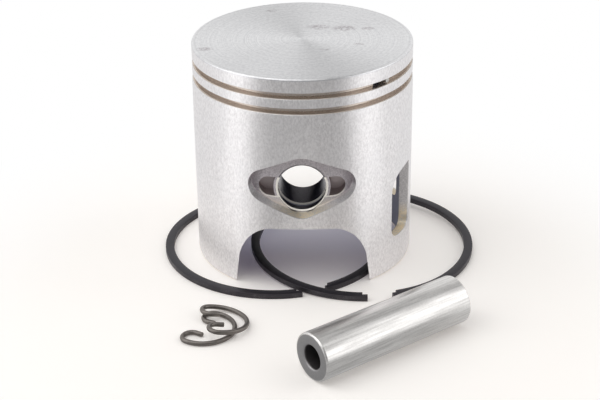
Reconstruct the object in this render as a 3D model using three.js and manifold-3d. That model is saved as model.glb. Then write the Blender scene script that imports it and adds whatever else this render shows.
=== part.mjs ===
// Two-stroke piston set for a 47 mm bore, taken apart and laid out on a flat surface.
// Millimetres, +Z up. The piston stands on its skirt with the pin bore along Y and the
// two port windows towards +X. Its rings, wrist pin and circlips lie loose around it.

import * as THREE from 'three';
import { mergeVertices } from 'three/addons/utils/BufferGeometryUtils.js';
import Module from 'manifold-3d';

// ---- driving dimensions ----

const roundSteps = 96;
const boreRadius = 23.5;
const landRadius = 23.4;
const pistonHeight = 48;
const edgeChamfer = 0.4;

const grooveFloorRadius = 21.4;
const grooveWidth = 1.35;
const upperGrooveFloor = 43.7;
const lowerGrooveFloor = 40.4;

const skirtInnerRadius = 21.5;
const cavityTop = 42;
const cavityTaperStart = 16;
const cavityShoulderRadius = 20.6;
const cavityShoulderHeight = 32;
const cavityRoofRadius = 13;

const pinRadius = 5;
const pinBoreRadius = 2.45;
const pinLength = 36.5;
const pinChamfer = 0.4;
const pinBoreChamfer = 0.5;
const pinAxisHeight = 23.2;
const pinFit = 0.03;

const bossInnerFace = 10.3;
const bossHalfWidth = 9.4;
const bossDrop = 8.3;
const bossOuterRadius = 22.3;
const bossTopRadius = 20.6;
const bossTopHeight = 38;
const bossLipRadius = 5.9;
const padInnerRadius = 18.6;
const padHalfWidth = 12.6;
const padBottom = 15.2;
const padTop = 33;

const recessFloorRadius = 21.2;
const recessDraft = 0.3;
const recessMouth = 24.5;
const recessRun = 6;
const recessCircles = [
  [0, 21.2, 4],
  [7.75, 24.1, 4.2],
  [0, 24.9, 6],
  [-7.75, 24.1, 4.2],
];

const slotHalfLength = 8.95;
const slotHalfHeight = 2.15;
const slotFloor = 16.8;

const clipGrooveInner = 18.2;
const clipGrooveOuter = 19.35;
const clipGrooveRadius = 5.6;

const archHalfWidth = 14.25;
const archHeight = 14.8;
const archShoulderX = 13.4;
const archShoulderZ = 7;
const archFlatX = 7.2;
const archFlatZ = 14.4;
const archCornerX = 11.8;
const archCornerZ = 13;

const windowNear = 6;
const windowFar = 14;
const windowBottom = 7.4;
const windowTop = 22.9;
const windowInner = 15;
const windowCorner = 2.6;
const windowTopNearCorner = 1;
const windowTopFarCorner = 4.6;
const windowTopFall = 0.6;

const pegRadius = 0.55;
const pegClearance = 0.1;
const pegSeat = 20.1;
const pegTip = 22.9;
const pegAngle = 50;
const pocketFloorRadius = 20.5;
const pocketWidth = 2;
const pocketOffset = 4.6;

const ringHeight = 1.2;
const ringWidth = 1.9;
const ringFreeRadius = 24.5;
const ringHalfGap = 6.4;
const ringNotchDepth = 0.95;
const ringNotchLength = 1.1;
const ringSteps = 84;

const wireRadius = 0.5;
const clipRadius = 6.12;
const clipHookRadius = 1.85;
const clipHalfSpan = 97;
const clipHookTurn = 178;
const clipTip = 1.35;
const clipSteps = 76;
const wireSides = 10;

// ---- places on the surface, from the piston's axis ----

const ringOnePlace = { x: -6.3, y: -2.2, gap: -68.7 };
const ringTwoPlace = { x: 12.75, y: -3.3, gap: -81.7 };
const ringTwoRiseTowards = 110;
const ringTwoSlope = 0.031;
const pinPlace = { x: 16.55, y: -46.4, turn: 37.84 };
const clipOnePlace = { x: -19.7, y: -39.05, turn: -26.4 };
const clipTwoPlace = { x: -17.21, y: -37.56, turn: 13.1 };
const clipTwoRiseTowards = 219;
const clipTwoSlope = 0.176;
const clipTwoCentreHeight = 1.62;

// ---- solids ----

const wasm = await Module();
wasm.setup();
const radians = THREE.MathUtils.degToRad;

function closedGeometry(geometry) {
  const bare = geometry.clone();
  bare.deleteAttribute('normal');
  bare.deleteAttribute('uv');
  const merged = mergeVertices(bare, 1e-4);
  const corners = merged.index.array;
  const kept = [];
  for (let i = 0; i < corners.length; i += 3) {
    const [a, b, c] = corners.slice(i, i + 3);
    if (a !== b && b !== c && c !== a) {
      kept.push(a, b, c);
    }
  }
  merged.setIndex(kept);
  return merged;
}

function signedVolume(geometry) {
  const at = geometry.attributes.position;
  const corners = geometry.index.array;
  const [a, b, c] = [new THREE.Vector3(), new THREE.Vector3(), new THREE.Vector3()];
  let total = 0;
  for (let i = 0; i < corners.length; i += 3) {
    a.fromBufferAttribute(at, corners[i]);
    b.fromBufferAttribute(at, corners[i + 1]);
    c.fromBufferAttribute(at, corners[i + 2]);
    total += a.dot(b.cross(c)) / 6;
  }
  return total;
}

// Merged vertices and faces that point out, whichever way the outline was drawn.
function outwardGeometry(geometry) {
  const closed = closedGeometry(geometry);
  if (signedVolume(closed) < 0) {
    closed.setIndex(Array.from(closed.index.array).reverse());
  }
  return closed;
}

function solid(geometry) {
  const closed = outwardGeometry(geometry);
  return new wasm.Manifold(new wasm.Mesh({
    numProp: 3,
    vertProperties: new Float32Array(closed.attributes.position.array),
    triVerts: new Uint32Array(closed.index.array),
  }));
}

function geometryOf(manifold) {
  const mesh = manifold.getMesh();
  const geometry = new THREE.BufferGeometry();
  geometry.setAttribute('position', new THREE.BufferAttribute(mesh.vertProperties, 3));
  geometry.setIndex(new THREE.BufferAttribute(mesh.triVerts, 1));
  return geometry;
}

// A turned solid about Z. The profile is a list of [radius, height].
function turned(profile, steps = roundSteps) {
  const points = profile.map(([radius, height]) => new THREE.Vector2(radius, height));
  return new THREE.LatheGeometry(points, steps).rotateX(Math.PI / 2);
}

function disc(radius, bottom, top, steps = roundSteps) {
  return turned([[0, bottom], [radius, bottom], [radius, top], [0, top]], steps);
}

// A rod along Y from one distance to another, with its axis at the pin's height.
function rodAlongY(radius, from, to, steps = 64) {
  return disc(radius, from, to, steps).rotateX(-Math.PI / 2).translate(0, 0, pinAxisHeight);
}

// An outline drawn in X and Z, run along Y from one distance to another.
function prismAlongY(shape, from, to, curveSegments = 12) {
  const options = { depth: to - from, bevelEnabled: false, curveSegments };
  return new THREE.ExtrudeGeometry(shape, options).rotateX(Math.PI / 2).translate(0, to, 0);
}

// An outline drawn in Y and Z, run along X.
function prismAlongX(shape, from, to) {
  const options = { depth: to - from, bevelEnabled: false, curveSegments: 8 };
  const turn = new THREE.Matrix4().makeBasis(
    new THREE.Vector3(0, 1, 0),
    new THREE.Vector3(0, 0, 1),
    new THREE.Vector3(1, 0, 0),
  );
  return new THREE.ExtrudeGeometry(shape, options).applyMatrix4(turn).translate(from, 0, 0);
}

// The outline round a ring of circles [x, y, radius], listed anticlockwise.
function beltShape(circles) {
  const leaving = circles.map(([x, y, radius], i) => {
    const [nextX, nextY, nextRadius] = circles[(i + 1) % circles.length];
    const distance = Math.hypot(nextX - x, nextY - y);
    return Math.atan2(nextY - y, nextX - x) - Math.acos((radius - nextRadius) / distance);
  });
  const shape = new THREE.Shape();
  circles.forEach(([x, y, radius], i) => {
    const arriving = leaving[(i + circles.length - 1) % circles.length];
    shape.absarc(x, y, radius, arriving, leaving[i], false);
  });
  return shape;
}

// A polygon of [x, y, corner radius], with each corner rounded.
function roundedShape(corners) {
  const shape = new THREE.Shape();
  corners.forEach(([x, y, radius], i) => {
    const here = new THREE.Vector2(x, y);
    const before = new THREE.Vector2(...corners.at(i - 1).slice(0, 2));
    const after = new THREE.Vector2(...corners[(i + 1) % corners.length].slice(0, 2));
    const start = before.sub(here).setLength(radius).add(here);
    const end = after.sub(here).setLength(radius).add(here);
    if (i === 0) {
      shape.moveTo(start.x, start.y);
    } else {
      shape.lineTo(start.x, start.y);
    }
    shape.quadraticCurveTo(x, y, end.x, end.y);
  });
  shape.closePath();
  return shape;
}

function onBothSides(geometry) {
  return solid(geometry).add(solid(geometry.clone().rotateZ(Math.PI)));
}

// ---- piston body ----

function grooveProfile(bottom) {
  return [
    [landRadius, bottom],
    [grooveFloorRadius, bottom],
    [grooveFloorRadius, bottom + grooveWidth],
    [landRadius, bottom + grooveWidth],
  ];
}

function pistonBlank() {
  return solid(turned([
    [0, 0],
    [boreRadius - edgeChamfer, 0],
    [boreRadius, edgeChamfer * 2],
    [boreRadius, lowerGrooveFloor - 1],
    ...grooveProfile(lowerGrooveFloor),
    ...grooveProfile(upperGrooveFloor),
    [landRadius, pistonHeight - edgeChamfer],
    [landRadius - edgeChamfer, pistonHeight],
    [0, pistonHeight],
  ]));
}

function cavity() {
  const roof = [];
  const roofSteps = 6;
  for (let i = 0; i <= roofSteps; i += 1) {
    const angle = (i / roofSteps) * (Math.PI / 2);
    roof.push([
      cavityRoofRadius + (cavityShoulderRadius - cavityRoofRadius) * Math.cos(angle),
      cavityShoulderHeight + (cavityTop - cavityShoulderHeight) * Math.sin(angle),
    ]);
  }
  return solid(turned([
    [0, -1],
    [skirtInnerRadius, -1],
    [skirtInnerRadius, cavityTaperStart],
    ...roof,
    [0, cavityTop],
  ]));
}

function bosses() {
  const hung = new THREE.Shape();
  hung.moveTo(bossHalfWidth, cavityTop + 1);
  hung.lineTo(-bossHalfWidth, cavityTop + 1);
  hung.lineTo(-bossHalfWidth, pinAxisHeight);
  hung.absellipse(0, pinAxisHeight, bossHalfWidth, bossDrop, Math.PI, Math.PI * 2, false);
  hung.closePath();
  const envelope = solid(turned([
    [0, 1],
    [bossOuterRadius, 1],
    [bossOuterRadius, bossTopHeight],
    [bossTopRadius, bossTopHeight + 1],
    [bossTopRadius, pistonHeight - 1],
    [0, pistonHeight - 1],
  ]));
  return onBothSides(prismAlongY(hung, bossInnerFace, boreRadius)).intersect(envelope);
}

// The wall is thicker behind each boss recess.
function recessPads() {
  const wall = solid(disc(bossOuterRadius, padBottom, padTop))
    .subtract(solid(disc(padInnerRadius, padBottom - 1, padTop + 1)));
  const width = padHalfWidth * 2;
  const height = padTop - padBottom + 2;
  const block = new THREE.BoxGeometry(width, boreRadius, height);
  block.translate(0, boreRadius / 2, (padBottom + padTop) / 2);
  return wall.intersect(onBothSides(block));
}

function bossRecess() {
  const drafted = new THREE.ExtrudeGeometry(beltShape(recessCircles), {
    depth: 1,
    bevelEnabled: true,
    bevelSegments: 1,
    bevelThickness: recessRun,
    bevelSize: recessDraft * recessRun,
    bevelOffset: recessDraft * (recessMouth - boreRadius) - recessDraft * recessRun,
    curveSegments: 12,
  });
  drafted.rotateX(Math.PI / 2).translate(0, -recessMouth, 0);
  return onBothSides(drafted).subtract(solid(disc(recessFloorRadius, 0, pistonHeight)));
}

// A slot runs level across each boss, and the lip round the bore stands in it.
function bossSlot() {
  const end = slotHalfLength - slotHalfHeight;
  const stadium = beltShape([
    [-end, pinAxisHeight, slotHalfHeight],
    [end, pinAxisHeight, slotHalfHeight],
  ]);
  const lip = rodAlongY(bossLipRadius, -boreRadius, boreRadius);
  return onBothSides(prismAlongY(stadium, slotFloor, boreRadius)).subtract(solid(lip));
}

function pinBore() {
  const bore = solid(rodAlongY(pinRadius + pinFit, -boreRadius - 1, boreRadius + 1));
  return bore.add(onBothSides(rodAlongY(clipGrooveRadius, clipGrooveInner, clipGrooveOuter)));
}

function skirtArches() {
  const arch = new THREE.Shape();
  arch.moveTo(-archHalfWidth, -1);
  arch.lineTo(archHalfWidth, -1);
  arch.lineTo(archHalfWidth, 0);
  arch.lineTo(archShoulderX, archShoulderZ);
  arch.quadraticCurveTo(archCornerX, archCornerZ, archFlatX, archFlatZ);
  arch.quadraticCurveTo(archFlatX / 2, archHeight, 0, archHeight);
  arch.quadraticCurveTo(-archFlatX / 2, archHeight, -archFlatX, archFlatZ);
  arch.quadraticCurveTo(-archCornerX, archCornerZ, -archShoulderX, archShoulderZ);
  arch.lineTo(-archHalfWidth, 0);
  arch.closePath();
  return solid(prismAlongY(arch, -boreRadius - 1, boreRadius + 1, 10));
}

function portWindow(side) {
  const outline = roundedShape([
    [side * windowFar, windowBottom, windowCorner],
    [side * windowNear, windowBottom, windowCorner],
    [side * windowNear, windowTop, windowTopNearCorner],
    [side * windowFar, windowTop - windowTopFall, windowTopFarCorner],
  ]);
  return solid(prismAlongX(outline, windowInner, boreRadius + 1));
}

// Both pegs stand in the groove floors, one each side of the windows.
function pegPlace(grooveFloor, side) {
  return { height: grooveFloor + grooveWidth / 2, azimuth: side * (90 - pegAngle) };
}

const upperPegPlace = pegPlace(upperGrooveFloor, -1);
const lowerPegPlace = pegPlace(lowerGrooveFloor, 1);

function pegRod({ height, azimuth }, radius, from, to) {
  const rod = new THREE.CylinderGeometry(radius, radius, to - from, 16);
  rod.rotateZ(-Math.PI / 2).translate((from + to) / 2, 0, 0);
  return rod.rotateZ(radians(azimuth)).translate(0, 0, height);
}

// A peg's hole, and the small relief cut beside it in the groove floor.
function pegCut(place) {
  const holeRadius = pegRadius + pegClearance;
  const hole = solid(pegRod(place, holeRadius, pegSeat - pegClearance, grooveFloorRadius + pegClearance));
  const depth = boreRadius - pocketFloorRadius;
  const relief = new THREE.BoxGeometry(depth, pocketWidth, grooveWidth - 0.02);
  const turn = place.azimuth + Math.sign(place.azimuth) * pocketOffset;
  relief.translate(pocketFloorRadius + depth / 2, 0, 0).rotateZ(radians(turn)).translate(0, 0, place.height);
  return hole.add(solid(relief));
}

function pistonGeometry() {
  const body = pistonBlank()
    .subtract(cavity())
    .add(bosses())
    .add(recessPads())
    .subtract(bossRecess())
    .subtract(bossSlot())
    .subtract(pinBore())
    .subtract(skirtArches())
    .subtract(portWindow(-1))
    .subtract(portWindow(1))
    .subtract(pegCut(upperPegPlace))
    .subtract(pegCut(lowerPegPlace));
  return geometryOf(body);
}

// ---- rings ----

// A free ring is wider than the bore. It lies flat with its gap towards +X, and each
// end has a notch on its inner side.
function ringGeometry() {
  const corner = (fromGap, inset) => {
    const radius = ringFreeRadius - inset;
    return new THREE.Vector2(radius * Math.cos(fromGap), radius * Math.sin(fromGap));
  };
  const end = radians(ringHalfGap);
  const notch = end + ringNotchLength / ringFreeRadius;
  const outer = [];
  const inner = [];
  for (let i = 0; i <= ringSteps; i += 1) {
    const share = i / ringSteps;
    const outerAngle = end + share * (2 * Math.PI - 2 * end);
    const innerAngle = notch + share * (2 * Math.PI - 2 * notch);
    outer.push(corner(outerAngle, 0));
    inner.push(corner(innerAngle, ringWidth));
  }
  const outline = [
    ...outer,
    corner(-end, ringNotchDepth),
    corner(-notch, ringNotchDepth),
    ...inner.reverse(),
    corner(notch, ringNotchDepth),
    corner(end, ringNotchDepth),
  ];
  const shape = new THREE.Shape(outline);
  return new THREE.ExtrudeGeometry(shape, { depth: ringHeight, bevelEnabled: false });
}

// ---- wrist pin ----

// The pin is a thick tube with its axis along X.
function wristPinGeometry() {
  const half = pinLength / 2;
  const profile = [
    [pinBoreRadius + pinBoreChamfer, -half],
    [pinRadius - pinChamfer, -half],
    [pinRadius, -half + pinChamfer],
    [pinRadius, half - pinChamfer],
    [pinRadius - pinChamfer, half],
    [pinBoreRadius + pinBoreChamfer, half],
    [pinBoreRadius, half - pinBoreChamfer],
    [pinBoreRadius, -half + pinBoreChamfer],
    [pinBoreRadius + pinBoreChamfer, -half],
  ];
  return turned(profile, 64).rotateY(Math.PI / 2);
}

// ---- circlips ----

// The wire's centre line: a wide arc that ends in two hooks turned inward, gap to -X.
class ClipCentreLine extends THREE.Curve {
  constructor() {
    super();
    const span = radians(clipHalfSpan);
    this.turn = radians(clipHookTurn);
    this.hookCentre = new THREE.Vector2(Math.cos(span), Math.sin(span));
    this.hookCentre.multiplyScalar(clipRadius - clipHookRadius);
    this.span = span;
    this.arcLength = clipRadius * span;
    this.hookLength = clipHookRadius * this.turn;
    this.halfLength = this.arcLength + this.hookLength + clipTip;
  }

  hookPoint(angle) {
    return new THREE.Vector2(Math.cos(angle), Math.sin(angle))
      .multiplyScalar(clipHookRadius)
      .add(this.hookCentre);
  }

  halfPoint(length) {
    if (length <= this.arcLength) {
      const angle = length / clipRadius;
      return new THREE.Vector2(clipRadius * Math.cos(angle), clipRadius * Math.sin(angle));
    }
    const along = length - this.arcLength;
    if (along <= this.hookLength) {
      return this.hookPoint(this.span + along / clipHookRadius);
    }
    const heading = this.span + this.turn + Math.PI / 2;
    return new THREE.Vector2(Math.cos(heading), Math.sin(heading))
      .multiplyScalar(along - this.hookLength)
      .add(this.hookPoint(this.span + this.turn));
  }

  getPoint(share, target = new THREE.Vector3()) {
    const length = (2 * share - 1) * this.halfLength;
    const point = this.halfPoint(Math.abs(length));
    return target.set(point.x, Math.sign(length) * point.y, 0);
  }
}

function circlipGeometry() {
  const section = new THREE.Shape();
  for (let i = 0; i < wireSides; i += 1) {
    const angle = (i / wireSides) * 2 * Math.PI;
    const [x, y] = [wireRadius * Math.cos(angle), wireRadius * Math.sin(angle)];
    if (i === 0) {
      section.moveTo(x, y);
    } else {
      section.lineTo(x, y);
    }
  }
  section.closePath();
  const path = new ClipCentreLine();
  return new THREE.ExtrudeGeometry(section, { steps: clipSteps, extrudePath: path });
}

// ---- materials ----

const castAluminium = new THREE.MeshStandardMaterial({ color: 0xc9c9cb, roughness: 0.42, metalness: 1 });
const pegSteel = new THREE.MeshStandardMaterial({ color: 0x8e8c88, roughness: 0.35, metalness: 1 });
const groundSteel = new THREE.MeshStandardMaterial({ color: 0xaeb0b3, roughness: 0.22, metalness: 1 });
const darkRingIron = new THREE.MeshStandardMaterial({ color: 0x26242a, roughness: 0.5, metalness: 0.4 });
const springWire = new THREE.MeshStandardMaterial({ color: 0x6f6a64, roughness: 0.4, metalness: 0.9 });

// ---- the set ----

function piece(name, geometry, material) {
  const shell = outwardGeometry(geometry);
  shell.computeVertexNormals();
  const mesh = new THREE.Mesh(shell, material);
  mesh.name = name;
  return mesh;
}

// Turns a flat piece about its own centre, then lifts the side that faces one direction.
function layDown(mesh, { x, y, turn }, height, slope = 0, towards = 0) {
  const flat = new THREE.Matrix4().makeRotationZ(radians(turn));
  const hinge = new THREE.Vector3(Math.sin(radians(towards)), -Math.cos(radians(towards)), 0);
  const tilt = new THREE.Matrix4().makeRotationAxis(hinge, slope);
  const place = new THREE.Matrix4().makeTranslation(x, y, height);
  mesh.applyMatrix4(place.multiply(tilt).multiply(flat));
  return mesh;
}

const piston = new THREE.Group();
piston.add(
  piece('piston_body', pistonGeometry(), castAluminium),
  piece('upper_ring_peg', pegRod(upperPegPlace, pegRadius, pegSeat, pegTip), pegSteel),
  piece('lower_ring_peg', pegRod(lowerPegPlace, pegRadius, pegSeat, pegTip), pegSteel),
);

const ringOne = piece('piston_ring_1', ringGeometry(), darkRingIron);
layDown(ringOne, { ...ringOnePlace, turn: ringOnePlace.gap }, 0);

// The second ring leans on the first at the back and touches the surface at the front.
const ringTwo = piece('piston_ring_2', ringGeometry(), darkRingIron.clone());
const ringTwoLift = Math.sin(ringTwoSlope) * ringFreeRadius;
layDown(ringTwo, { ...ringTwoPlace, turn: ringTwoPlace.gap }, ringTwoLift, ringTwoSlope, ringTwoRiseTowards);

const wristPin = piece('wrist_pin', wristPinGeometry(), groundSteel);
layDown(wristPin, pinPlace, pinRadius);

const clipOne = piece('circlip_1', circlipGeometry(), springWire);
layDown(clipOne, clipOnePlace, wireRadius);

// The second circlip leans across the first.
const clipTwo = piece('circlip_2', circlipGeometry(), springWire.clone());
layDown(clipTwo, clipTwoPlace, clipTwoCentreHeight, clipTwoSlope, clipTwoRiseTowards);

const set = new THREE.Group();
set.add(piston, ringOne, ringTwo, wristPin, clipOne, clipTwo);

// The origin is the middle of the set's footprint, on the surface it lies on.
const footprint = new THREE.Box3().setFromObject(set, true);
const middle = footprint.getCenter(new THREE.Vector3());
set.position.set(-middle.x, -middle.y, -footprint.min.z);

export default set;
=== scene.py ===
import math

import bmesh
import bpy
from mathutils import Matrix, Vector


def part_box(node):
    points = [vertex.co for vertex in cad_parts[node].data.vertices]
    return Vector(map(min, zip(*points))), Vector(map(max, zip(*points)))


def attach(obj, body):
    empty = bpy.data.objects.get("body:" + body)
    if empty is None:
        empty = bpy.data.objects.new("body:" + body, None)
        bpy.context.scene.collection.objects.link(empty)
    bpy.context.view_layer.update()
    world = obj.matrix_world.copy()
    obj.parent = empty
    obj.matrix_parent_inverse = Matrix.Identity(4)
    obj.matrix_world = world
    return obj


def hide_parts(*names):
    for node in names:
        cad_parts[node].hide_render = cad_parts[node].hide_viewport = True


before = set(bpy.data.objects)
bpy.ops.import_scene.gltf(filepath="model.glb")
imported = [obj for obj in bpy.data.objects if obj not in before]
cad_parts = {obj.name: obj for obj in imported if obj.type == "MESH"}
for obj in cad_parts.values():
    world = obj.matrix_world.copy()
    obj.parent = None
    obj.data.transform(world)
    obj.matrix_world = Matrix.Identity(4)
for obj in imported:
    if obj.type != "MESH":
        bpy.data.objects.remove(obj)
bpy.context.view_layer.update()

mm = 0.001
bodyLow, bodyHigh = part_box("piston_body")
pistonAxis = Vector(((bodyLow.x + bodyHigh.x) / 2, (bodyLow.y + bodyHigh.y) / 2, 0))
print("frame loaded")


# mesh helpers: shapes are made in millimetres and go to metres when they are placed

def newObject(name, bm):
    mesh = bpy.data.meshes.new(name)
    bmesh.ops.recalc_face_normals(bm, faces=bm.faces)
    bm.to_mesh(mesh)
    bm.free()
    made = bpy.data.objects.new(name, mesh)
    bpy.context.scene.collection.objects.link(made)
    return made


def outlineFace(bm, points):
    return bm.faces.new([bm.verts.new(point) for point in points])


def spunBody(profile, steps, closed=False):
    # turns [radius, height] points about Z; an open profile starts and ends on the axis
    bm = bmesh.new()
    corners = [bm.verts.new((radius, 0, height)) for radius, height in profile]
    edges = [bm.edges.new(pair) for pair in zip(corners, corners[1:])]
    if closed:
        edges.append(bm.edges.new((corners[-1], corners[0])))
    bmesh.ops.spin(bm, geom=corners + edges, cent=(0, 0, 0), axis=(0, 0, 1),
                   angle=math.tau, steps=steps, use_merge=True)
    bmesh.ops.remove_doubles(bm, verts=bm.verts, dist=1e-4)
    return bm


def onlyVerts(parts):
    return [part for part in parts if isinstance(part, bmesh.types.BMVert)]


def prism(points, along):
    bm = bmesh.new()
    face = outlineFace(bm, points)
    grown = bmesh.ops.extrude_face_region(bm, geom=[face])["geom"]
    bmesh.ops.translate(bm, vec=along, verts=onlyVerts(grown))
    return bm


def withTwin(bm):
    # adds a copy turned half a turn about Z
    twin = bmesh.ops.duplicate(bm, geom=bm.verts[:] + bm.edges[:] + bm.faces[:])["geom"]
    bmesh.ops.rotate(bm, cent=(0, 0, 0), matrix=Matrix.Rotation(math.pi, 3, "Z"), verts=onlyVerts(twin))
    return bm


def arc(x, y, radius, start, end, steps):
    return [(x + radius * math.cos(start + (end - start) * i / steps),
             y + radius * math.sin(start + (end - start) * i / steps)) for i in range(steps + 1)]


def beltOutline(circles, steps=14):
    # the tight outline round a ring of circles (x, y, radius), listed anticlockwise
    leaving = []
    for (x, y, radius), (nextX, nextY, nextRadius) in zip(circles, circles[1:] + circles[:1]):
        lean = math.acos((radius - nextRadius) / math.hypot(nextX - x, nextY - y))
        leaving.append(math.atan2(nextY - y, nextX - x) - lean)
    points = []
    for i, (x, y, radius) in enumerate(circles):
        start, end = leaving[i - 1], leaving[i]
        points += arc(x, y, radius, start, start + (end - start) % math.tau, steps)
    return points


def curveThrough(start, corner, end, steps):
    # a quadratic curve, without its last point
    found = []
    for i in range(steps):
        t = i / steps
        found.append(tuple((1 - t) ** 2 * a + 2 * t * (1 - t) * b + t * t * c
                           for a, b, c in zip(start, corner, end)))
    return found


def bakeModifiers(obj):
    graph = bpy.context.evaluated_depsgraph_get()
    mesh = bpy.data.meshes.new_from_object(obj.evaluated_get(graph), depsgraph=graph)
    obj.modifiers.clear()
    old, obj.data = obj.data, mesh
    bpy.data.meshes.remove(old)


def combine(target, tool, operation):
    step = target.modifiers.new("step", "BOOLEAN")
    step.operation = operation
    step.solver = "MANIFOLD"
    step.object = tool
    bakeModifiers(target)
    bpy.data.objects.remove(tool)


def shadeBySharpness(obj, degrees=28):
    obj.data.shade_smooth()
    obj.data.set_sharp_from_angle(angle=math.radians(degrees))


def placePiece(obj, node, body, material):
    # puts the mesh's middle where the CAD node's is, and hands the piece to its body
    obj.data.transform(Matrix.Diagonal((mm, mm, mm, 1)))
    corners = [Vector(corner.co) for corner in obj.data.vertices]
    low = Vector([min(corner[i] for corner in corners) for i in range(3)])
    high = Vector([max(corner[i] for corner in corners) for i in range(3)])
    nodeLow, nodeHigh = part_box(node)
    obj.data.transform(Matrix.Translation((nodeLow + nodeHigh) / 2 - (low + high) / 2))
    obj.data.materials.clear()
    obj.data.materials.append(material)
    shadeBySharpness(obj)
    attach(obj, body)
    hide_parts(node)
    return obj


# shader helpers

class Value:
    # a socket that can be used in sums
    def __init__(self, paint, socket):
        self.paint = paint
        self.socket = socket

    def maths(self, operation, first, second=None):
        sockets = {0: first}
        if second is not None:
            sockets[1] = second
        return self.paint.node("ShaderNodeMath", {"operation": operation}, sockets)

    def __add__(self, other):
        return self.maths("ADD", self, other)

    def __radd__(self, other):
        return self.maths("ADD", other, self)

    def __sub__(self, other):
        return self.maths("SUBTRACT", self, other)

    def __rsub__(self, other):
        return self.maths("SUBTRACT", other, self)

    def __mul__(self, other):
        return self.maths("MULTIPLY", self, other)

    def __truediv__(self, other):
        return self.maths("DIVIDE", self, other)

    def __pow__(self, other):
        return self.maths("POWER", self, other)

    def __abs__(self):
        return self.maths("ABSOLUTE", self)

    def larger(self, other):
        return self.maths("MAXIMUM", self, other)

    def step(self, low, high):
        # 0 below low, 1 above high, smooth between
        return self.paint.node("ShaderNodeMapRange", {"interpolation_type": "SMOOTHSTEP"},
                               {"Value": self, "From Min": low, "From Max": high})

    def within(self, low, high, soft=0.06):
        return self.step(low - soft, low) * (1 - self.step(high, high + soft))


class Paint:
    # one node tree, for a material or the world
    def __init__(self, owner):
        self.owner = owner
        owner.use_nodes = True
        self.tree = owner.node_tree
        self.tree.nodes.clear()

    def node(self, kind, settings=None, sockets=None, output=0):
        made = self.tree.nodes.new(kind)
        for name, setting in (settings or {}).items():
            setattr(made, name, setting)
        for name, value in (sockets or {}).items():
            if isinstance(value, Value):
                self.tree.links.new(value.socket, made.inputs[name])
            else:
                made.inputs[name].default_value = value
        return Value(self, made.outputs[output]) if made.outputs else made

    def mix(self, amount, first, second):
        first = first if isinstance(first, Value) else (*first, 1)
        second = second if isinstance(second, Value) else (*second, 1)
        return self.node("ShaderNodeMix", {"data_type": "RGBA"}, {0: amount, 6: first, 7: second}, 2)

    def placeIn(self, centre, turn=0):
        # object coordinates in millimetres, from a centre, turned about Z
        place = self.node("ShaderNodeTexCoord", output=3)
        shift = [-part / mm for part in centre]
        sockets = {"Vector": place, "Location": shift, "Scale": [1 / mm] * 3}
        moved = self.node("ShaderNodeMapping", {}, sockets)
        if turn:
            moved = self.node("ShaderNodeMapping", {}, {"Vector": moved, "Rotation": (0, 0, -turn)})
        return moved

    def split(self, vector):
        return [self.node("ShaderNodeSeparateXYZ", {}, {0: vector}, axis) for axis in range(3)]

    def joined(self, x, y, z):
        return self.node("ShaderNodeCombineXYZ", {}, {0: x, 1: y, 2: z})

    def noise(self, vector, scale, detail=3, roughness=0.55, stretch=None):
        if stretch:
            vector = self.node("ShaderNodeVectorMath", {"operation": "MULTIPLY"}, {0: vector, 1: stretch})
        return self.node("ShaderNodeTexNoise", {}, {"Vector": vector, "Scale": scale, "Detail": detail,
                                                    "Roughness": roughness})

    def spots(self, x, y, places):
        # 1 at the middle of each place, fading to 0 at its reach
        total = 0
        for spotX, spotY, reach in places:
            away = ((x - spotX) ** 2 + ((y - spotY) * 1.6) ** 2) ** 0.5
            total = (1 - away.step(reach * 0.4, reach)) + total
        return total

    def relief(self, height, depth, strength=1.0, under=None):
        # depth is the relief's height in millimetres
        sockets = {"Height": height, "Strength": strength, "Distance": depth * mm}
        if under is not None:
            sockets["Normal"] = under
        return self.node("ShaderNodeBump", {}, sockets)

    def finish(self, **sockets):
        named = {name.replace("_", " "): value for name, value in sockets.items()}
        shader = self.node("ShaderNodeBsdfPrincipled", {}, named)
        self.node("ShaderNodeOutputMaterial", {}, {"Surface": shader})
        return self.owner


def newPaint(name):
    return Paint(bpy.data.materials.new(name))


# the view and the light

cameraPlace = {
    "fromAxis": (5.45, -312.29, 164.25),   # millimetres
    "yaw": -0.0202,
    "down": 0.4587,
    "roll": -0.0119,
    "lens": 94.3,
}


def makeCamera(place):
    data = bpy.data.cameras.new("camera")
    data.lens = place["lens"]
    data.sensor_width = 36
    data.clip_start = 0.01
    data.clip_end = 20
    camera = bpy.data.objects.new("camera", data)
    bpy.context.scene.collection.objects.link(camera)
    yaw, down, roll = place["yaw"], place["down"], place["roll"]
    forward = Vector((math.sin(yaw) * math.cos(down), math.cos(yaw) * math.cos(down), -math.sin(down)))
    level = Vector((math.cos(yaw), -math.sin(yaw), 0))
    upright = level.cross(forward)
    right = math.cos(roll) * level + math.sin(roll) * upright
    up = right.cross(forward)
    turn = Matrix((right, up, -forward)).transposed()
    spot = pistonAxis + Vector(place["fromAxis"]) * mm
    camera.matrix_world = Matrix.Translation(spot) @ turn.to_4x4()
    bpy.context.scene.camera = camera


studio = {
    "background": 1.0,
    "room": 0.9,
    "ceiling": 0.46,
    "frontDark": 0.3,
    "frontBox": 1.55,
    "sideBox": 1.7,
    "floorColour": (0.93, 0.905, 0.872),
    "floorGlow": (0.14, 0.13, 0.125),
    # painted shade and light on the floor: under the piston its glow is lower towards the front, higher and
    # bluer towards the back
    "shadowGlow": (0.055, 0.045, 0.066),      # under the piston, towards the front
    "shadowGlowBehind": (0.16, 0.155, 0.2),   # under the piston, towards the back
    "mirroredFront": 0.48,
    "mirroredBox": 1.1,
    "mirroredRoom": 0.86,
    "mirrorStart": 34,  # millimetres from the piston's axis
    "mirrorEnd": 60,
    "fadeCentre": (2, -30, 0),  # the middle of the laid-out pieces, from the piston's axis
    "fadeStart": 48,    # millimetres from there
    "fadeEnd": 105,
    "keyPower": 2.2,
    "keySize": 0.8,
    "keyPlace": (-0.25, -0.15, 0.7),
}


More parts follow.
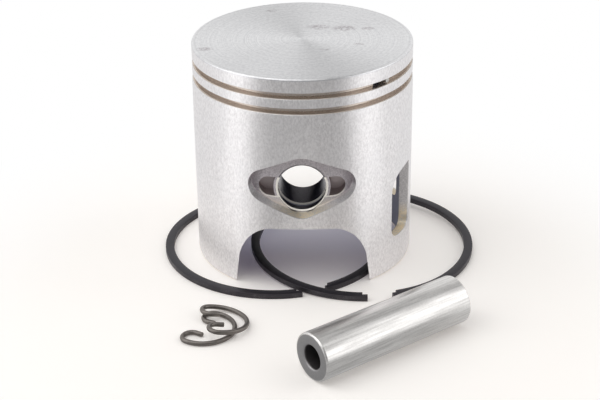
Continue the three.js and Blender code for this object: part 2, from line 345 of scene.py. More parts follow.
def frontness(x, y):
    # 1 towards the front of the piston, 0 at its sides, -1 behind
    return (0 - y) / ((x * x + y * y) ** 0.5).larger(0.001)


def straightAhead(front):
    return front.step(0.52, 0.84)


def besideFront(front):
    return front.step(0.12, 0.3) * (1 - front.step(0.46, 0.76))


def makeWorld(light):
    world = bpy.data.worlds.new("studio")
    bpy.context.scene.world = world
    paint = Paint(world)
    # the way each ray goes; z is 1 straight up
    x, y, z = paint.split(paint.node("ShaderNodeTexCoord", output=0))
    front = frontness(x, y)
    above = z.step(-0.02, 0.05)
    level = light["room"] - z.step(0.6, 0.72) * (light["room"] - light["ceiling"])
    darkFront = straightAhead(front) * (1 - z.step(0.55, 0.8))
    level = level - darkFront * (light["room"] - light["frontDark"])
    frontBoxes = besideFront(front) * above * (1 - z.step(0.5, 0.62))
    sideBoxes = front.within(-0.3, 0.1, 0.1) * z.within(0.25, 0.82, 0.06)
    level = level + frontBoxes * (light["frontBox"] - light["room"])
    level = level + sideBoxes * (light["sideBox"] - light["room"])
    seen = paint.node("ShaderNodeLightPath")
    shown = seen * light["background"] + (1 - seen) * level
    glow = paint.node("ShaderNodeBackground", {}, {"Color": (1, 1, 1, 1), "Strength": shown})
    paint.node("ShaderNodeOutputWorld", {}, {"Surface": glow})


def makeFloor(light):
    bm = bmesh.new()
    bmesh.ops.create_circle(bm, cap_ends=True, segments=96, radius=4)
    floor = newObject("floor", bm)
    paint = newPaint("paleSurface")
    setX, setY = paint.split(paint.placeIn(pistonAxis + Vector(light["fadeCentre"]) * mm))[:2]
    x, y = paint.split(paint.placeIn(pistonAxis))[:2]
    away = (setX * setX + setY * setY) ** 0.5
    fromPiston = (x * x + y * y) ** 0.5
    # painted shade and light: under the piston the floor glows less towards the front, more and bluer towards
    # the back
    shadow = paint.mix(y.step(-12, 7), light["shadowGlow"], light["shadowGlowBehind"])
    glow = paint.mix(fromPiston.step(18, 26), shadow, light["floorGlow"])
    matte = paint.node("ShaderNodeBsdfPrincipled", {}, {
        "Base Color": (*light["floorColour"], 1), "Roughness": 0.8,
        "Emission Color": glow, "Emission Strength": 1.0})
    white = paint.node("ShaderNodeEmission", {}, {"Color": (1, 1, 1, 1), "Strength": light["background"]})
    faded = paint.node("ShaderNodeMixShader", {}, {
        0: away.step(light["fadeStart"], light["fadeEnd"]), 1: matte, 2: white})
    # for glossy rays the floor away from the piston glows like a studio with a dark front and bright boxes
    # beside it, and metal mirrors that glow
    front = frontness(x, y)
    level = light["mirroredRoom"] - straightAhead(front) * (light["mirroredRoom"] - light["mirroredFront"])
    level = level + besideFront(front) * (light["mirroredBox"] - light["mirroredRoom"])
    mirrored = paint.node("ShaderNodeEmission", {}, {"Color": (1, 1, 1, 1), "Strength": level})
    glossyRay = paint.node("ShaderNodeLightPath", output=3)
    amount = glossyRay * fromPiston.step(light["mirrorStart"], light["mirrorEnd"])
    both = paint.node("ShaderNodeMixShader", {}, {0: amount, 1: faded, 2: mirrored})
    paint.node("ShaderNodeOutputMaterial", {}, {"Surface": both})
    floor.data.materials.append(paint.owner)


def makeKey(light):
    data = bpy.data.lights.new("key", "AREA")
    data.energy = light["keyPower"]
    data.size = light["keySize"]
    key = bpy.data.objects.new("key", data)
    key.location = pistonAxis + Vector(light["keyPlace"])
    key.rotation_euler = (pistonAxis - key.location).to_track_quat("-Z", "Y").to_euler()
    bpy.context.scene.collection.objects.link(key)


makeCamera(cameraPlace)
makeWorld(studio)
makeFloor(studio)
makeKey(studio)
bpy.context.scene.view_settings.view_transform = "Standard"
print("camera and studio made")


# piston body

piston = {
    "steps": 240,
    "radius": 23.5,
    "landRadius": 23.4,
    "height": 48,
    "crownRound": 0.4,
    "footChamfer": 0.4,
    "grooveFloor": 21.4,
    "grooveWidth": 1.35,
    "grooveFillet": 0.15,
    "grooveBreak": 0.06,
    "upperGroove": 43.7,
    "lowerGroove": 40.4,
    "skirtInner": 21.5,
    "cavityTop": 42,
    "cavityTaper": 16,
    "shoulderRadius": 20.6,
    "shoulderHeight": 32,
    "roofRadius": 13,
    "pinAxis": 23.2,
    "pinBore": 5.03,
    "boreBreak": 0.25,
    "bossInner": 10.3,
    "bossHalfWidth": 9.4,
    "bossDrop": 8.3,
    "bossOuter": 22.3,
    "bossTopRadius": 20.6,
    "bossTop": 38,
    "bossLip": 5.9,
    "padInner": 18.6,
    "padHalfWidth": 12.6,
    "padBottom": 15.2,
    "padTop": 33,
    "recessFloor": 21.2,
    "recessDraft": 0.3,
    "recessMouth": 24.5,
    "recessRun": 6,
    "recessCircles": [(0, 21.2, 4), (7.75, 24.1, 4.2), (0, 24.9, 6), (-7.75, 24.1, 4.2)],
    "slotHalfLength": 8.95,
    "slotHalfHeight": 2.15,
    "slotFloor": 16.8,
    "clipGroove": (18.2, 19.35, 5.6),
    "archHalfWidth": 14.25,
    "archHeight": 14.8,
    "archShoulder": (13.4, 7),
    "archCorner": (11.8, 13),
    "archFlat": (7.2, 14.4),
    "windowNear": 6,
    "windowFar": 14,
    "windowBottom": 7.4,
    "windowTop": 22.9,
    "windowTopFall": 0.6,
    "windowCorners": (2.6, 1, 4.6),
    "windowInner": 15,
    # where the crown is scuffed: x, y and reach from its middle
    "scuffs": [(3.5, 7, 3.2), (9, 6.2, 3.4), (14, 6, 1.8), (-20.2, -6, 2.2),
               (12, -3.5, 1.3), (-7, 17.5, 1.5), (4.7, -6.5, 1.2)],
    "colours": {
        "crownDark": (0.56, 0.56, 0.575),
        "crownLight": (0.98, 0.98, 0.985),
        "scuff": (0.26, 0.21, 0.23),
        "skinDark": (0.7, 0.68, 0.685),
        "skinLight": (0.965, 0.945, 0.95),
        "skinCloud": (0.8, 0.79, 0.8),
        # painted shade: the inside of the piston is coloured dark and bluish
        "castShadeDark": (0.2, 0.205, 0.25),
        "castShadeLight": (0.39, 0.4, 0.49),
        "recessDark": (0.52, 0.485, 0.51),
        "recessLight": (0.93, 0.88, 0.9),
        # painted reflection: the lower part of the recess floor is lighter and warmer
        "recessLowReflection": (1, 0.93, 0.84),
        "wallDark": (0.5, 0.49, 0.5),
        "wallLight": (0.88, 0.86, 0.87),
        # painted shade: the slot across the boss is coloured darker
        "slot": (0.5, 0.44, 0.44),
        # the ring grooves' own colour, given a brown tint that is painted reflection
        "groove": (0.7, 0.64, 0.59),
        # painted highlight: a pale line along the lower edge of each ring groove
        "grooveEdgeHighlight": (0.95, 0.86, 0.77),
        # painted shade: the pin bore is coloured dark
        "bore": (0.25, 0.235, 0.25),
        # painted highlight: pale lines on the bore's mouth, the edge of its circlip groove and the slot's
        # lower edge
        "edgeHighlight": (0.97, 0.93, 0.86),
        # painted reflection: a warm golden tint on the lower walls of the recess and the windows
        "goldenReflection": (1, 0.87, 0.64),
    },
}

pegs = {
    "radius": 0.55,
    "clearance": 0.1,
    "seat": 20.1,
    "tip": 22.9,
    "azimuth": 40,
    "round": 0.12,
    "pocketFloor": 20.5,
    "pocketWidth": 2,
    "pocketOffset": 4.6,
    "colours": {"dark": (0.4, 0.39, 0.37), "light": (0.66, 0.65, 0.63)},
}


def grooveProfile(bottom):
    top = bottom + piston["grooveWidth"]
    land, floor = piston["landRadius"], piston["grooveFloor"]
    edge, fillet = piston["grooveBreak"], piston["grooveFillet"]
    return [(land, bottom - edge), (land - edge, bottom), (floor + fillet, bottom),
            *arc(floor + fillet, bottom + fillet, fillet, -math.pi / 2, -math.pi, 3)[1:],
            *arc(floor + fillet, top - fillet, fillet, -math.pi, -math.pi * 1.5, 3),
            (land - edge, top), (land, top + edge)]


def pistonBlank():
    radius, land, foot = piston["radius"], piston["landRadius"], piston["footChamfer"]
    rim = piston["crownRound"]
    crown = arc(land - rim, piston["height"] - rim, rim, 0, math.pi / 2, 5)
    profile = [(0, 0), (radius - foot, 0), (radius - foot * 0.3, foot * 0.5), (radius, foot * 2),
               (radius, piston["lowerGroove"] - 1),
               *grooveProfile(piston["lowerGroove"]), *grooveProfile(piston["upperGroove"]),
               *crown, (0, piston["height"])]
    return newObject("pistonBody", spunBody(profile, piston["steps"]))


def cavityTool():
    shoulder, height = piston["shoulderRadius"], piston["shoulderHeight"]
    roof = []
    for i in range(13):
        angle = i / 12 * math.pi / 2
        roof.append((piston["roofRadius"] + (shoulder - piston["roofRadius"]) * math.cos(angle),
                     height + (piston["cavityTop"] - height) * math.sin(angle)))
    inner = piston["skirtInner"]
    profile = [(0, -1), (inner + 0.7, -1), (inner, 0.5), (inner, piston["cavityTaper"]),
               *roof, (0, piston["cavityTop"])]
    return newObject("cavity", spunBody(profile, piston["steps"]))


def rodAlongY(radius, start, end, steps=96):
    bm = bmesh.new()
    bmesh.ops.create_cone(bm, cap_ends=True, segments=steps, radius1=radius, radius2=radius,
                          depth=end - start)
    bmesh.ops.rotate(bm, cent=(0, 0, 0), matrix=Matrix.Rotation(math.pi / 2, 3, "X"), verts=bm.verts)
    bmesh.ops.translate(bm, vec=(0, (start + end) / 2, piston["pinAxis"]), verts=bm.verts)
    return bm


def wideDisc(radius, bottom, top):
    bm = bmesh.new()
    bmesh.ops.create_cone(bm, cap_ends=True, segments=piston["steps"], radius1=radius, radius2=radius,
                          depth=top - bottom)
    bmesh.ops.translate(bm, vec=(0, 0, (bottom + top) / 2), verts=bm.verts)
    return bm


def bossBlocks():
    half, axis, top = piston["bossHalfWidth"], piston["pinAxis"], piston["cavityTop"] + 1
    lower = [(half * math.cos(angle), axis + piston["bossDrop"] * math.sin(angle))
             for angle in [math.pi + math.pi * i / 32 for i in range(33)]]
    outline = [(half, top), (-half, top), *lower]
    start, end = piston["bossInner"], piston["radius"]
    hung = newObject("bosses", withTwin(prism([(x, start, z) for x, z in outline], (0, end - start, 0))))
    outer, high = piston["bossOuter"], piston["bossTop"]
    narrow, ceiling = piston["bossTopRadius"], piston["height"] - 1
    profile = [(0, 1), (outer, 1), (outer, high), (narrow, high + 1), (narrow, ceiling), (0, ceiling)]
    combine(hung, newObject("within", spunBody(profile, piston["steps"])), "INTERSECT")
    return hung


def recessPads():
    bottom, top, half = piston["padBottom"], piston["padTop"], piston["padHalfWidth"]
    pads = newObject("pads", wideDisc(piston["bossOuter"], bottom, top))
    combine(pads, newObject("hole", wideDisc(piston["padInner"], bottom - 1, top + 1)), "DIFFERENCE")
    corners = [(half, 1, bottom - 1), (half, 1, top + 1), (-half, 1, top + 1), (-half, 1, bottom - 1)]
    blocks = withTwin(prism(corners, (0, piston["radius"], 0)))
    combine(pads, newObject("blocks", blocks), "INTERSECT")
    return pads


def draftedRecess():
    # the recess narrows as it goes in, down to a round floor
    mouth, run, draft = piston["recessMouth"], piston["recessRun"], piston["recessDraft"]
    bm = bmesh.new()
    rings = []
    for depth in (0, run):
        grow = draft * (mouth - piston["radius"] - depth)
        circles = [(x, z, radius + grow) for x, z, radius in piston["recessCircles"]]
        outline = [(x, -mouth + depth, z) for x, z in beltOutline(circles)]
        rings.append(outlineFace(bm, outline))
    edges = [edge for face in rings for edge in face.edges]
    bmesh.ops.bridge_loops(bm, edges=edges)
    tool = newObject("recess", withTwin(bm))
    combine(tool, newObject("core", wideDisc(piston["recessFloor"], 0, piston["height"])), "DIFFERENCE")
    return tool


def slotTool():
    axis, half = piston["pinAxis"], piston["slotHalfHeight"]
    end = piston["slotHalfLength"] - half
    circles = [(-end, axis, half), (end, axis, half)]
    start = piston["slotFloor"]
    outline = [(x, start, z) for x, z in beltOutline(circles, 20)]
    tool = newObject("slot", withTwin(prism(outline, (0, piston["radius"] - start, 0))))
    combine(tool, newObject("lip", rodAlongY(piston["bossLip"], -30, 30)), "DIFFERENCE")
    return tool


def boreTool():
    # the pin bore, its circlip grooves, and a small break on the boss lips
    radius = piston["pinBore"]
    inner, outer, deep = piston["clipGroove"]
    half = piston["recessFloor"]
    edge = piston["boreBreak"]
    step = 0.02
    side = [(radius, inner - step), (deep, inner), (deep, outer), (radius, outer + step),
            (radius, half - edge), (radius + edge, half), (radius + edge, 26)]
    profile = [(0, -26), *[(r, -h) for r, h in reversed(side)], *side, (0, 26)]
    bm = spunBody(profile, 96)
    bmesh.ops.rotate(bm, cent=(0, 0, 0), matrix=Matrix.Rotation(math.pi / 2, 3, "X"), verts=bm.verts)
    bmesh.ops.translate(bm, vec=(0, 0, piston["pinAxis"]), verts=bm.verts)
    return newObject("bore", bm)


def archTool():
    wide, shoulder = piston["archHalfWidth"], piston["archShoulder"]
    corner, flat = piston["archCorner"], piston["archFlat"]
    top = (0, piston["archHeight"])
    crest = (flat[0] / 2, piston["archHeight"])
    half = [(wide, -1), (wide, 0), *curveThrough(shoulder, corner, flat, 16),
            *curveThrough(flat, crest, top, 8)]
    outline = [*half, top, *[(-x, z) for x, z in reversed(half)]]
    return newObject("arches", prism([(x, -26, z) for x, z in outline], (0, 52, 0)))


def windowTool(side):
    near, far, low, high = (piston[key] for key in ("windowNear", "windowFar", "windowBottom", "windowTop"))
    lowCorner, nearCorner, farCorner = piston["windowCorners"]
    corners = [(far, low, lowCorner), (near, low, lowCorner), (near, high, nearCorner),
               (far, high - piston["windowTopFall"], farCorner)]
    outline = []
    for i, (y, z, radius) in enumerate(corners):
        here = Vector((y, z))
        before = Vector(corners[i - 1][:2]) - here
        after = Vector(corners[(i + 1) % 4][:2]) - here
        start = here + before.normalized() * radius
        end = here + after.normalized() * radius
        outline += [*curveThrough(start, here, end, 12), tuple(end)]
    points = [(piston["windowInner"], side * y, z) for y, z in outline]
    return newObject("window", prism(points, (12, 0, 0)))


def pegRod(height, azimuth, radius, start, end, rounding=0):
    bm = bmesh.new()
    bmesh.ops.create_cone(bm, cap_ends=True, segments=32, radius1=radius, radius2=radius, depth=end - start)
    if rounding:
        rims = [edge for edge in bm.edges if abs(edge.verts[0].co.z - edge.verts[1].co.z) < 0.001]
        bmesh.ops.bevel(bm, geom=rims, offset=rounding, segments=3, profile=0.5,
                        affect="EDGES", material=-1)
    bmesh.ops.rotate(bm, cent=(0, 0, 0), matrix=Matrix.Rotation(math.pi / 2, 3, "Y"), verts=bm.verts)
    bmesh.ops.translate(bm, vec=((start + end) / 2, 0, height), verts=bm.verts)
    bmesh.ops.rotate(bm, cent=(0, 0, 0), matrix=Matrix.Rotation(azimuth, 3, "Z"), verts=bm.verts)
    return bm


def pocketTool(height, azimuth):
    floor, width = pegs["pocketFloor"], pegs["pocketWidth"] / 2
    half = piston["grooveWidth"] / 2 - 0.01
    depth = piston["radius"] - floor
    base = [(floor, -width, height - half), (floor, width, height - half),
            (floor, width, height + half), (floor, -width, height + half)]
    bm = prism(base, (depth, 0, 0))
    turn = azimuth + math.copysign(math.radians(pegs["pocketOffset"]), azimuth)
    bmesh.ops.rotate(bm, cent=(0, 0, 0), matrix=Matrix.Rotation(turn, 3, "Z"), verts=bm.verts)
    return newObject("pocket", bm)


pegPlaces = {
    "upper_ring_peg": (piston["upperGroove"] + piston["grooveWidth"] / 2, -math.radians(pegs["azimuth"])),
    "lower_ring_peg": (piston["lowerGroove"] + piston["grooveWidth"] / 2, math.radians(pegs["azimuth"])),
}


def pistonPaint():
    paint = newPaint("pistonAlloy")
    shades = piston["colours"]
    place = paint.placeIn(pistonAxis)
    x, y, z = paint.split(place)
    radius = (x * x + y * y) ** 0.5
    aboveAxis = z - piston["pinAxis"]
    fromPin = (x * x + aboveAxis * aboveAxis) ** 0.5
    height, land, recess = piston["height"], piston["landRadius"], piston["recessFloor"]
    lowGroove, highGroove = piston["lowerGroove"], piston["upperGroove"]
    breakRadius = piston["pinBore"] + piston["boreBreak"]
    slotHalf, slotEnd = piston["slotHalfHeight"], piston["slotHalfLength"]

    # the turned crown and skirt, and the two ring grooves
    crown = z.step(height - 0.45, height - 0.25)
    skin = radius.step(land - 0.14, land - 0.06) * (1 - crown)
    under = (1 - skin) * (1 - crown)
    groovesHigh = z.within(lowGroove - 0.1, highGroove + piston["grooveWidth"] + 0.15)
    grooves = radius.step(recess - 0.1, recess + 0.1) * groovesHigh * under
    lowFlanks = abs(z - lowGroove).within(-1, 0.05, 0.03) + abs(z - highGroove).within(-1, 0.05, 0.03)
    grooveEdges = radius.step(land - 0.45, land - 0.35) * grooves * lowFlanks

    # the pin bore, the edge of its circlip groove, and its mouth
    clipEdge = piston["clipGroove"][0]
    bored = (1 - fromPin.step(breakRadius + 0.02, breakRadius + 0.08)) * under
    clipLine = bored * abs(y).within(clipEdge - 0.28, clipEdge + 0.02, 0.05)
    atLip = radius.step(recess - 0.35, recess - 0.25) * abs(y).step(recess - 1, recess - 0.8) * under
    lipEnd = 1 - fromPin.step(breakRadius + 0.12, breakRadius + 0.18)
    lipEnd = lipEnd * abs(aboveAxis).within(-1, slotHalf, 0.08)
    lowEdge = (1 - fromPin.step(breakRadius - 0.04, breakRadius + 0.02)) * (0 - aboveAxis).step(1.9, 2.3)
    mouth = (lipEnd + lowEdge) * atLip

    # the slot across the boss, and the edge below it
    atRecess = radius.step(recess - 0.3, recess - 0.1)
    pastEnd = (abs(x) - slotEnd + slotHalf).larger(0)
    fromSlot = (pastEnd * pastEnd + aboveAxis * aboveAxis) ** 0.5
    slotEdge = fromSlot.within(slotHalf, slotHalf + 0.2, 0.05) * (0 - aboveAxis).step(0.4, 1.4)
    slotEdge = slotEdge * fromPin.step(breakRadius + 0.02, breakRadius + 0.12) * under
    slotEdge = slotEdge * atRecess * (1 - abs(x).step(slotEnd + 0.35, slotEnd + 0.55))
    slot = (1 - fromSlot.step(slotHalf + 0.05, slotHalf + 0.1)) * under * (1 - bored)
    slot = slot * (1 - radius.step(recess - 0.1, recess - 0.04)) * abs(y).step(16, 16.3)

    # the recess round the boss, and every wall that cuts through the skirt
    pocket = atRecess * z.within(15, 33) * (1 - abs(x).step(12.8, 13.2)) * (1 - skin)
    walls = radius.step(recess + 0.35, recess + 0.45) * under * (1 - grooves)
    lowWalls = (1 - abs(x).step(13, 14)) * (1 - z.step(17, 20.5)) + abs(x).step(14, 15) * (1 - z.step(9, 13))
    # painted reflection: a warm golden tint on the lower walls of the recess and the windows
    goldenReflection = walls * lowWalls * paint.noise(place, 1.9, 4, 0.7).step(0.15, 0.6)

    # fine lathe lines, cast grain and soft clouds
    lines = paint.noise(paint.joined(radius * 2.4, 0, 0), 1, 5, 0.75)
    flecks = paint.noise(place, 1.5, 4, 0.7)
    grain = paint.noise(place, 2.7, 3, 0.65, (1, 1, 0.55))
    turning = paint.noise(paint.joined(0, 0, z * 7), 1, 3, 0.6)
    sand = paint.noise(place, 3.2, 5, 0.75)
    clouds = paint.noise(place, 0.16, 3, 0.5)
    broken = paint.noise(place, 1.7, 3, 0.75, (1, 2, 1)).step(0.44, 0.56)
    scuffs = broken * paint.spots(x, y, piston["scuffs"])
    clearSand = sand.step(0.2, 0.8)

    marks = lines.step(0.25, 0.75) * 0.55 + flecks.step(0.25, 0.75) * 0.45
    crownColour = paint.mix(marks, shades["crownDark"], shades["crownLight"])
    crownColour = paint.mix(scuffs * 0.6, crownColour, shades["scuff"])
    skinColour = paint.mix(grain.step(0.25, 0.75), shades["skinDark"], shades["skinLight"])
    skinColour = paint.mix(clouds.step(0.3, 0.7) * 0.3, skinColour, shades["skinCloud"])
    # painted shade: the cast inside is coloured darker and bluer than the outside
    castShadedColour = paint.mix(sand, shades["castShadeDark"], shades["castShadeLight"])
    pocketColour = paint.mix(clearSand, shades["recessDark"], shades["recessLight"])
    # painted reflection: the lower part of the recess floor is lighter and warmer
    pocketColour = paint.mix(1 - z.step(18, 22), pocketColour, shades["recessLowReflection"])
    wallColour = paint.mix(clearSand, shades["wallDark"], shades["wallLight"])

    colour = paint.mix(pocket, castShadedColour, pocketColour)
    # painted shade: the slot across the boss is coloured darker
    colour = paint.mix(slot, colour, shades["slot"])
    colour = paint.mix(walls, colour, wallColour)
    # the ring grooves' own colour, given a brown tint that is painted reflection
    colour = paint.mix(grooves, colour, shades["groove"])
    # painted shade: the pin bore is coloured dark
    colour = paint.mix(bored, colour, shades["bore"])
    colour = paint.mix(goldenReflection * 0.9, colour, shades["goldenReflection"])
    colour = paint.mix(skin, colour, skinColour)
    colour = paint.mix(crown, colour, crownColour)
    # painted highlights: pale lines on the bore's mouth, on the edge of its circlip groove and on the slot's
    # lower edge
    colour = paint.mix(mouth + (clipLine + slotEdge) * 0.9, colour, shades["edgeHighlight"])
    # painted highlight: the lower edges of the ring grooves are pale
    colour = paint.mix(grooveEdges, colour, shades["grooveEdgeHighlight"])

    # the painted highlight lines on these edges are also made less metallic
    metal = 1 - (grooveEdges + mouth + clipLine + slotEdge) * 0.8
    rough = 0.62 - grooves * 0.36 - bored * 0.4 - slot * 0.25 - walls * 0.12
    rough = rough - skin * (0.2 + grain * 0.06) - crown * (0.2 + lines * 0.1)
    cast = under * (1 - grooves) * (1 - bored)
    relief = crown * (lines * 0.9 + flecks * 0.5) + skin * (grain + turning * 0.4) + cast * sand * 2.2
    relief = relief + (grooves + bored) * turning * 0.1
    return paint.finish(Base_Color=colour, Metallic=metal, Roughness=rough, Normal=paint.relief(relief, 0.02),
                        Anisotropic=0.8, Anisotropic_Rotation=0.25)


def makePiston():
    body = pistonBlank()
    combine(body, cavityTool(), "DIFFERENCE")
    combine(body, bossBlocks(), "UNION")
    combine(body, recessPads(), "UNION")
    combine(body, draftedRecess(), "DIFFERENCE")
    combine(body, slotTool(), "DIFFERENCE")
    combine(body, boreTool(), "DIFFERENCE")
    combine(body, archTool(), "DIFFERENCE")
    combine(body, windowTool(1), "DIFFERENCE")
    combine(body, windowTool(-1), "DIFFERENCE")
    for height, azimuth in pegPlaces.values():
        hole = pegRod(height, azimuth, pegs["radius"] + pegs["clearance"], pegs["seat"] - pegs["clearance"],
                      piston["grooveFloor"] + pegs["clearance"])
        combine(body, newObject("hole", hole), "DIFFERENCE")
        combine(body, pocketTool(height, azimuth), "DIFFERENCE")
    placePiece(body, "piston_body", "piston", pistonPaint())


def makePegs():
    paint = newPaint("pegSteel")
    shades = pegs["colours"]
    place = paint.placeIn(pistonAxis)
    worn = paint.noise(place, 3, 3)
    steel = paint.finish(Base_Color=paint.mix(worn, shades["dark"], shades["light"]), Metallic=1.0,
                         Roughness=0.28 + worn * 0.2, Normal=paint.relief(worn, 0.01))
    for node, (height, azimuth) in pegPlaces.items():
        rod = pegRod(height, azimuth, pegs["radius"], pegs["seat"], pegs["tip"], pegs["round"])
        name = "upperRingPeg" if node.startswith("upper") else "lowerRingPeg"
        placePiece(newObject(name, rod), node, "piston", steel)


makePiston()
makePegs()
print("piston made")


# piston rings

rings = {
    "radius": 24.5,
    "width": 1.9,
    "height": 1.2,
    "edge": 0.14,
    "halfGap": 6.4,      # degrees
    "notchDepth": 0.95,
    "notchLength": 1.1,
    "steps": 200,
    "colours": {"dark": (0.012, 0.0105, 0.014), "light": (0.04, 0.034, 0.043), "rubbed": (0.13, 0.12, 0.125)},
    "lower": {"node": "piston_ring_1", "body": "lower_ring", "gap": -68.7, "slope": 0, "towards": 0},
    "upper": {"node": "piston_ring_2", "body": "upper_ring", "gap": -81.7, "slope": 0.031, "towards": 110},
}


def ringPaint(centre):
    paint = newPaint("ringIron")
    shades, outer = rings["colours"], rings["radius"]
    place = paint.placeIn(centre)
    x, y, z = paint.split(place)
    radius = (x * x + y * y) ** 0.5
    fine = paint.noise(place, 3.4, 4, 0.7)
    clouds = paint.noise(place, 0.35, 3)
    lines = paint.noise(paint.joined(radius * 6, z * 6, 0), 1, 3)
    rubbed = radius.step(outer - 0.08, outer + 0.02) * clouds.step(0.45, 0.7) * fine.step(0.35, 0.65)
    colour = paint.mix(fine * 0.5 + clouds * 0.5, shades["dark"], shades["light"])
    colour = paint.mix(rubbed * 0.35, colour, shades["rubbed"])
    rough = 0.34 + fine * 0.18 - rubbed * 0.06
    return paint.finish(Base_Color=colour, Metallic=0.35, Roughness=rough, Specular_IOR_Level=0.55,
                        Normal=paint.relief(fine * 0.6 + lines * 0.5, 0.012))


def laidTurn(turn, slope=0, towards=0):
    # turned about Z, then the side that faces towards is lifted
    hinge = Vector((math.sin(math.radians(towards)), -math.cos(math.radians(towards)), 0))
    return Matrix.Rotation(slope, 4, hinge) @ Matrix.Rotation(math.radians(turn), 4, "Z")


def makeRing(place, name):
    outer, inner, height = rings["radius"], rings["radius"] - rings["width"], rings["height"]
    bm = bmesh.new()
    outlineFace(bm, [(inner, 0, 0), (outer, 0, 0), (outer, 0, height), (inner, 0, height)])
    bmesh.ops.bevel(bm, geom=bm.verts[:], offset=rings["edge"], segments=3, profile=0.5, affect="VERTICES",
                    material=-1)
    gap = math.radians(rings["halfGap"])
    bmesh.ops.rotate(bm, cent=(0, 0, 0), matrix=Matrix.Rotation(gap, 3, "Z"), verts=bm.verts)
    bmesh.ops.spin(bm, geom=bm.verts[:] + bm.edges[:] + bm.faces[:], cent=(0, 0, 0), axis=(0, 0, 1),
                   angle=math.tau - 2 * gap, steps=rings["steps"])
    ring = newObject(name, bm)
    reach = gap + rings["notchLength"] / rings["radius"]
    deep = outer - rings["notchDepth"]
    wedge = [(inner - 1, 0), (deep, 0), (deep * math.cos(reach), deep * math.sin(reach)),
             ((inner - 1) * math.cos(reach), (inner - 1) * math.sin(reach))]
    for side in (1, -1):
        points = [(x, side * y, -1) for x, y in wedge]
        combine(ring, newObject("notch", prism(points, (0, 0, height + 2))), "DIFFERENCE")
    ring.data.transform(laidTurn(place["gap"], place["slope"], place["towards"]))
    low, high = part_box(place["node"])
    return placePiece(ring, place["node"], place["body"], ringPaint((low + high) / 2))


makeRing(rings["lower"], "lowerRing")
makeRing(rings["upper"], "upperRing")
print("rings made")


# wrist pin

wristPin = {
    "radius": 5,
    "bore": 2.45,
    "length": 36.5,
    "rim": 0.4,
    "boreRim": 0.5,
    "turn": 37.84,      # degrees
    "colours": {
        "wallDark": (0.58, 0.565, 0.55),
        "wallLight": (0.92, 0.905, 0.885),
        "faceDark": (0.28, 0.275, 0.28),
        "faceLight": (0.48, 0.47, 0.47),
        # painted shade: the inside of the pin's hollow is coloured dark
        "hole": (0.16, 0.15, 0.15),
    },
}


def pinPaint(centre):
    paint = newPaint("pinSteel")
    shades, bore = wristPin["colours"], wristPin["bore"]
    faceEdge = wristPin["radius"] - wristPin["rim"]
    place = paint.placeIn(centre, math.radians(wristPin["turn"]))
    x, y, z = paint.split(place)
    radius = (y * y + z * z) ** 0.5
    wall = radius.step(faceEdge - 0.05, faceEdge + 0.05)
    hole = 1 - radius.step(bore + 0.05, bore + 0.15)
    around = paint.noise(paint.joined(x * 5, 0, 0), 1, 3, 0.6)
    lengthwise = paint.noise(place, 2.2, 3, 0.6, (0.05, 1, 1))
    mottle = paint.noise(place, 2.8, 4, 0.7)
    faceLines = paint.noise(paint.joined(radius * 6, 0, 0), 1, 3)
    streaks = lengthwise.step(0.28, 0.72) * 0.7 + mottle.step(0.25, 0.75) * 0.3
    wallColour = paint.mix(streaks, shades["wallDark"], shades["wallLight"])
    faceColour = paint.mix(mottle, shades["faceDark"], shades["faceLight"])
    colour = paint.mix(wall, faceColour, wallColour)
    # painted shade: the inside of the pin's hollow is coloured dark
    colour = paint.mix(hole, colour, shades["hole"])
    rough = 0.46 - wall * 0.21 + mottle * 0.08
    height = wall * (around * 0.15 + lengthwise * 0.35) + (1 - wall) * (mottle * 0.8 + faceLines * 0.4)
    return paint.finish(Base_Color=colour, Metallic=1.0, Roughness=rough, Normal=paint.relief(height, 0.01))


def makePin():
    half, radius, bore = wristPin["length"] / 2, wristPin["radius"], wristPin["bore"]
    rim, boreRim = wristPin["rim"], wristPin["boreRim"]
    end = [*arc(bore + boreRim, half - boreRim, boreRim, math.pi, math.pi / 2, 4),
           *arc(radius - rim, half - rim, rim, math.pi / 2, 0, 6)]
    profile = [*end, *[(r, -h) for r, h in reversed(end)]]
    bm = spunBody(profile, 128, closed=True)
    bmesh.ops.rotate(bm, cent=(0, 0, 0), matrix=Matrix.Rotation(math.pi / 2, 3, "Y"), verts=bm.verts)
    pin = newObject("wristPin", bm)
    pin.data.transform(laidTurn(wristPin["turn"]))
    low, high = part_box("wrist_pin")
    placePiece(pin, "wrist_pin", "pin", pinPaint((low + high) / 2))


makePin()
print("wrist pin made")


# circlips

circlips = {
    "wire": 0.5,
    "wireSides": 20,
    "radius": 6.12,
    "hook": 1.85,
    "halfSpan": 97,     # degrees of the wide arc on each side
    "hookTurn": 178,
    "tip": 1.35,
    "endBreak": 0.1,
    "colours": {"dark": (0.09, 0.08, 0.072), "light": (0.3, 0.275, 0.255)},
    "lower": {"node": "circlip_1", "body": "lower_clip", "turn": -26.4, "slope": 0, "towards": 0},
    "upper": {"node": "circlip_2", "body": "upper_clip", "turn": 13.1, "slope": 0.176, "towards": 219},
}


def clipPaint(centre):
    paint = newPaint("clipWire")
    shades = circlips["colours"]
    place = paint.placeIn(centre)
    x, y, z = paint.split(place)
    radius = (x * x + y * y) ** 0.5
    drawn = paint.noise(paint.joined(radius * 5, z * 5, 0), 1, 3, 0.6)
    spots = paint.noise(place, 1.6, 4, 0.7)
    colour = paint.mix(drawn * 0.5 + spots * 0.5, shades["dark"], shades["light"])
    return paint.finish(Base_Color=colour, Metallic=1.0, Roughness=0.3 + spots * 0.16,
                        Normal=paint.relief(drawn * 0.6 + spots * 0.5, 0.012))


def newest(result):
    verts = onlyVerts(result["geom_last"])
    edges = [part for part in result["geom_last"] if isinstance(part, bmesh.types.BMEdge)]
    faces = [part for part in result["geom_last"] if isinstance(part, bmesh.types.BMFace)]
    return verts, edges, faces


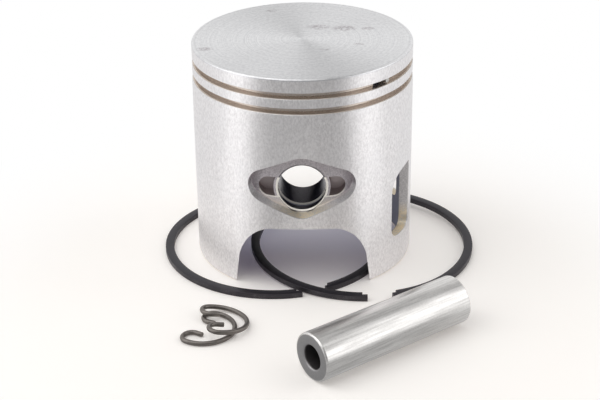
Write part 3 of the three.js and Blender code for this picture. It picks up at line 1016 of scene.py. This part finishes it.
def makeClip(place, name):
    wire, radius, hook = circlips["wire"], circlips["radius"], circlips["hook"]
    span, hookTurn = math.radians(circlips["halfSpan"]), math.radians(circlips["hookTurn"])
    bm = bmesh.new()
    bmesh.ops.create_circle(bm, cap_ends=True, segments=circlips["wireSides"], radius=wire)
    bmesh.ops.rotate(bm, cent=(0, 0, 0), matrix=Matrix.Rotation(math.pi / 2, 3, "X"), verts=bm.verts)
    bmesh.ops.translate(bm, vec=(radius, 0, 0), verts=bm.verts)
    section = bm.verts[:] + bm.edges[:] + bm.faces[:]
    arcEnd = bmesh.ops.spin(bm, geom=section, cent=(0, 0, 0), axis=(0, 0, 1), angle=span, steps=48)
    centre = Vector((math.cos(span), math.sin(span), 0)) * (radius - hook)
    verts, edges, faces = newest(arcEnd)
    hookEnd = bmesh.ops.spin(bm, geom=verts + edges + faces, cent=centre, axis=(0, 0, 1),
                             angle=hookTurn, steps=32)
    verts, edges, faces = newest(hookEnd)
    heading = span + hookTurn + math.pi / 2
    tip = bmesh.ops.extrude_face_region(bm, geom=faces)["geom"]
    along = Vector((math.cos(heading), math.sin(heading), 0)) * circlips["tip"]
    bmesh.ops.translate(bm, vec=along, verts=onlyVerts(tip))
    bmesh.ops.delete(bm, geom=faces, context="FACES_ONLY")
    start = [face for face in bm.faces if all(abs(corner.co.y) < 1e-5 for corner in face.verts)]
    bmesh.ops.delete(bm, geom=start, context="FACES_ONLY")
    bmesh.ops.mirror(bm, geom=bm.verts[:] + bm.edges[:] + bm.faces[:], axis="Y", merge_dist=1e-4)
    ends = [face for face in bm.faces if len(face.verts) > 4]
    rims = list({edge for face in ends for edge in face.edges})
    bmesh.ops.bevel(bm, geom=rims, offset=circlips["endBreak"], segments=2, profile=0.5,
                    affect="EDGES", material=-1)
    clip = newObject(name, bm)
    clip.data.transform(laidTurn(place["turn"], place["slope"], place["towards"]))
    low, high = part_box(place["node"])
    return placePiece(clip, place["node"], place["body"], clipPaint((low + high) / 2))


makeClip(circlips["lower"], "lowerClip")
makeClip(circlips["upper"], "upperClip")
print("circlips made")
